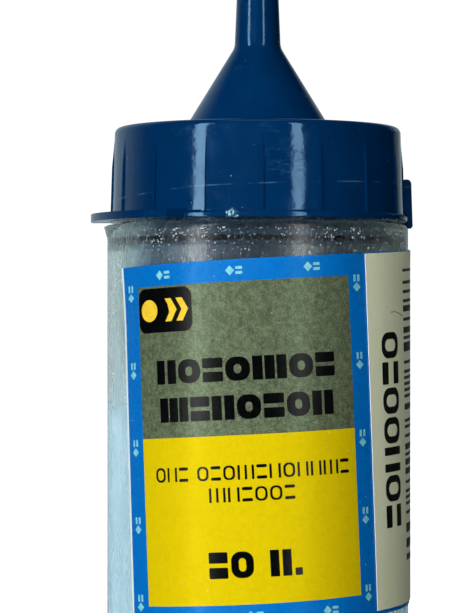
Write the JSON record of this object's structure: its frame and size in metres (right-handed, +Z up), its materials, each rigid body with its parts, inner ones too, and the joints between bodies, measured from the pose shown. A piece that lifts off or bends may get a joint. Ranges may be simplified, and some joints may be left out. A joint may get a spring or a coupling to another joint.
{
  "type": "chalk powder refill bottle",
  "caption": "Cylindrical clear jar of marking-chalk powder with a ribbed screw closure, a cone and a long tapered pouring spout, a wrapped label and a thumb lug.",
  "frame": {"origin": "centre of the jar's flat base", "axes": "+Z up the bottle's axis to the spout's tip, the label's front faces -Y, and +X is at the reader's right"},
  "size_m": [0.041, 0.0382, 0.0978],
  "materials": {
    "clear_plastic": "gloss",
    "chalk": "matte",
    "label_paper": "satin",
    "sticker_paper": "matte",
    "liner_foam": "matte",
    "blue_plastic": "gloss"
  },
  "bodies": {
    "jar": {"jar_body": "clear_plastic", "chalk_powder": "chalk", "wrap_label": "label_paper", "barcode_sticker": "sticker_paper"},
    "liner": {"seal_liner": "liner_foam"},
    "closure": {"spout_cap": "blue_plastic"},
    "latch": {"cap_latch": "blue_plastic"},
    "tip": {"tip_cap": "blue_plastic"}
  },
  "joints": [
    {"name": "closure_rise", "type": "slide", "parent": "jar", "child": "liner", "axis": [0, 0, 1], "range_m": [0, 0.0038]},
    {"name": "cap_turn", "type": "hinge", "parent": "liner", "child": "closure", "pos_m": [0, 0, 0.0545], "axis": [0, 0, 1], "range_deg": [0, 450]},
    {"name": "latch_press", "type": "hinge", "parent": "closure", "child": "latch", "pos_m": [0.01732, 0.0096, 0.0545], "axis": [0.4848, -0.8746, 0], "range_deg": [0, 8], "stiffness_Nm_per_rad": 0.02},
    {"name": "tip_cap_pull", "type": "slide", "parent": "closure", "child": "tip", "axis": [0, 0, 1], "range_m": [0, 0.02]}
  ],
  "couplings": [
    {"joint": "closure_rise", "follows": "cap_turn", "m_per_rad": 0.00047746}
  ]
}
